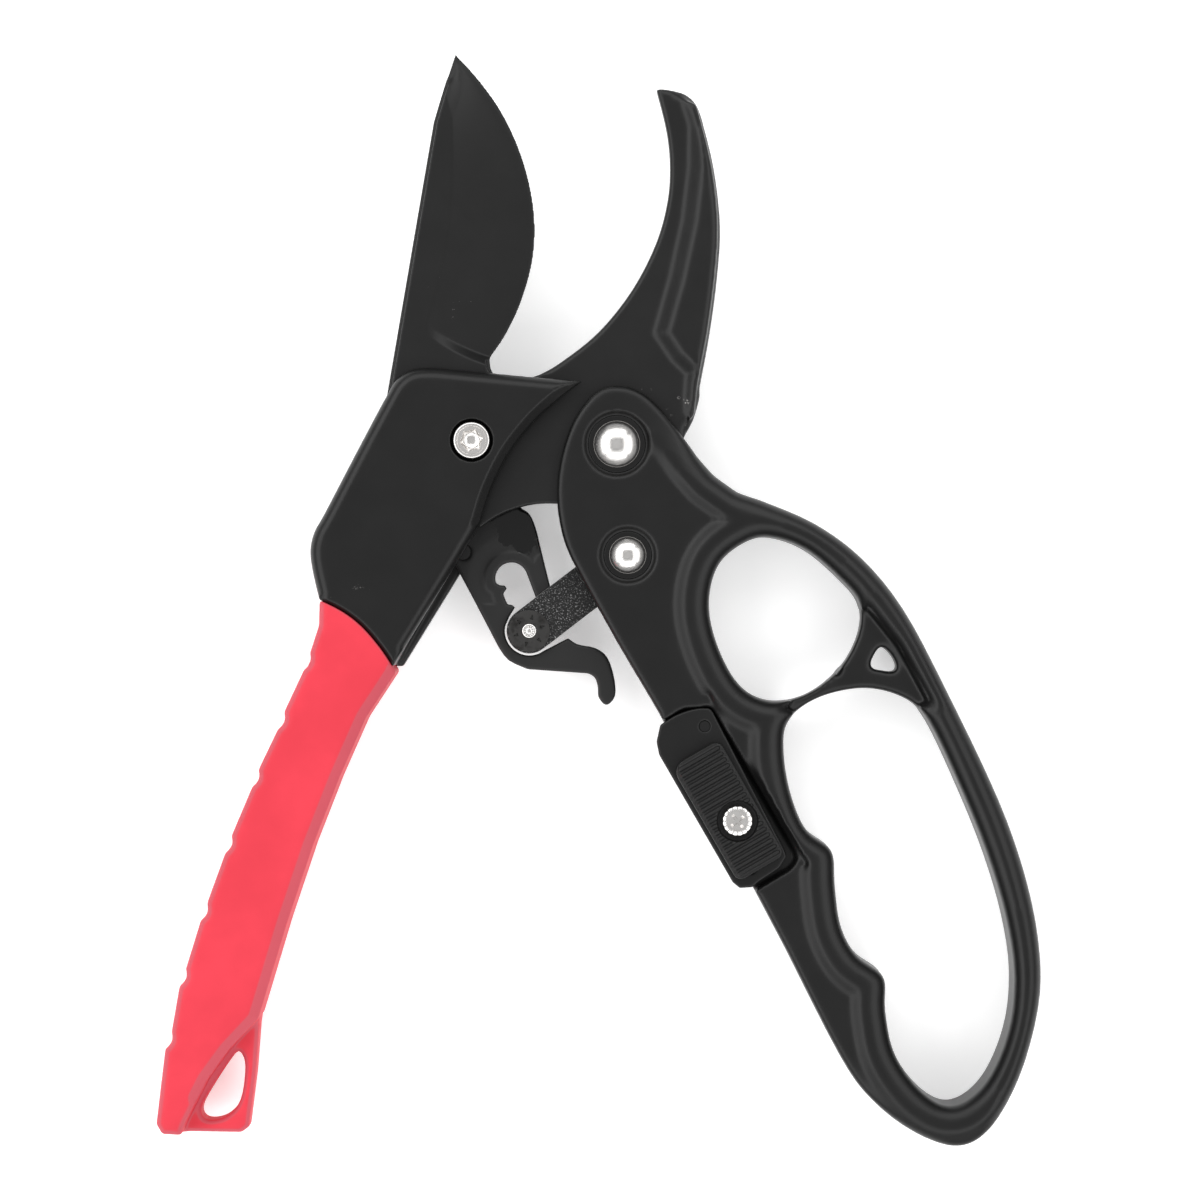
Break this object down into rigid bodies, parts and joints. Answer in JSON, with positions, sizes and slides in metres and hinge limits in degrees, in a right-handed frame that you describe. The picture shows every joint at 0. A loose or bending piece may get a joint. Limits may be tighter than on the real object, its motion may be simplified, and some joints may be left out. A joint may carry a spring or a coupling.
{
  "type": "ratchet pruning shears",
  "caption": "Ratchet pruning shears, open: curved bypass blade on a straight red grip, hooked counter blade, loop handle with finger ring, link and thumb lock.",
  "frame": {"origin": "the end of the pivot screw, on the main pivot's axis, at the plane that the tool lies on", "axes": "+Z along the main pivot towards the front of the tool, +Y towards the blade's tip"},
  "size_m": [0.1678, 0.2076, 0.0174],
  "materials": {
    "black_casting": "satin black coating with a fine orange peel",
    "black_blade": "thin black non-stick coating over ground steel",
    "black_hook": "satin black coating over forged steel",
    "red_grip": "soft matte red moulding",
    "gloss_plate": "wet-look black paint",
    "lock_plastic": "satin black, ribbed",
    "rough_link": "coarse speckled black with bare bright edges",
    "dark_disc": "dark burnished steel",
    "black_washer": "gloss black",
    "bronze_bush": "plain bronze",
    "spring_steel": "drawn wire",
    "hidden_steel": "plain steel",
    "bright_nickel": "bright nickel"
  },
  "bodies": {
    "root": {"fixed_handle": "black_casting", "blade": "black_blade", "grip_sleeve": "red_grip", "ratchet_plate": "gloss_plate", "pivot_screw": "bright_nickel", "pivot_nut": "bright_nickel", "thrust_washer": "hidden_steel", "blade_dowels": "hidden_steel", "ratchet_rivets": "gloss_plate"},
    "hook_arm": {"hook": "black_hook", "pivot_bush": "bronze_bush", "hook_spring_peg": "hidden_steel"},
    "loop_arm": {"loop_handle": "black_casting", "main_rivet": "bright_nickel", "main_rivet_washers": "black_washer", "link_rivet": "bright_nickel", "link_rivet_washers": "black_washer", "spring_spool": "hidden_steel", "main_spring": "spring_steel", "lock_base": "black_casting", "lock_base_pins": "black_casting", "lock_detent_ball": "hidden_steel"},
    "lock": {"lock_pad": "lock_plastic", "lock_screw": "bright_nickel", "lock_catch": "hidden_steel"},
    "link": {"link_front": "rough_link", "link_back": "rough_link", "link_bush": "bronze_bush", "ratchet_pin": "bright_nickel", "pin_disc": "dark_disc", "link_spring": "spring_steel"}
  },
  "joints": [
    {"name": "hook_pivot", "type": "hinge", "parent": "root", "child": "hook_arm", "pos_m": [0, 0, 0.0103], "axis": [0, 0, 1], "range_deg": [0, 33], "stiffness_Nm_per_rad": 0.3, "springref_deg": -34.38},
    {"name": "handle_pivot", "type": "hinge", "parent": "hook_arm", "child": "loop_arm", "pos_m": [0.02749, -0.00058, 0.0103], "axis": [0, 0, 1], "range_deg": [-52.2, 0]},
    {"name": "link_pivot", "type": "hinge", "parent": "loop_arm", "child": "link", "pos_m": [0.02956, -0.02167, 0.0057], "axis": [0, 0, 1], "range_deg": [0, 45.4]},
    {"name": "lock_slide", "type": "slide", "parent": "loop_arm", "child": "lock", "axis": [-0.5, 0.866, 0], "range_m": [0, 0.0066]}
  ],
  "couplings": [
    {"joint": "handle_pivot", "follows": "hook_pivot", "ratio": -1.58},
    {"joint": "link_pivot", "follows": "hook_pivot", "ratio": 1.374}
  ]
}
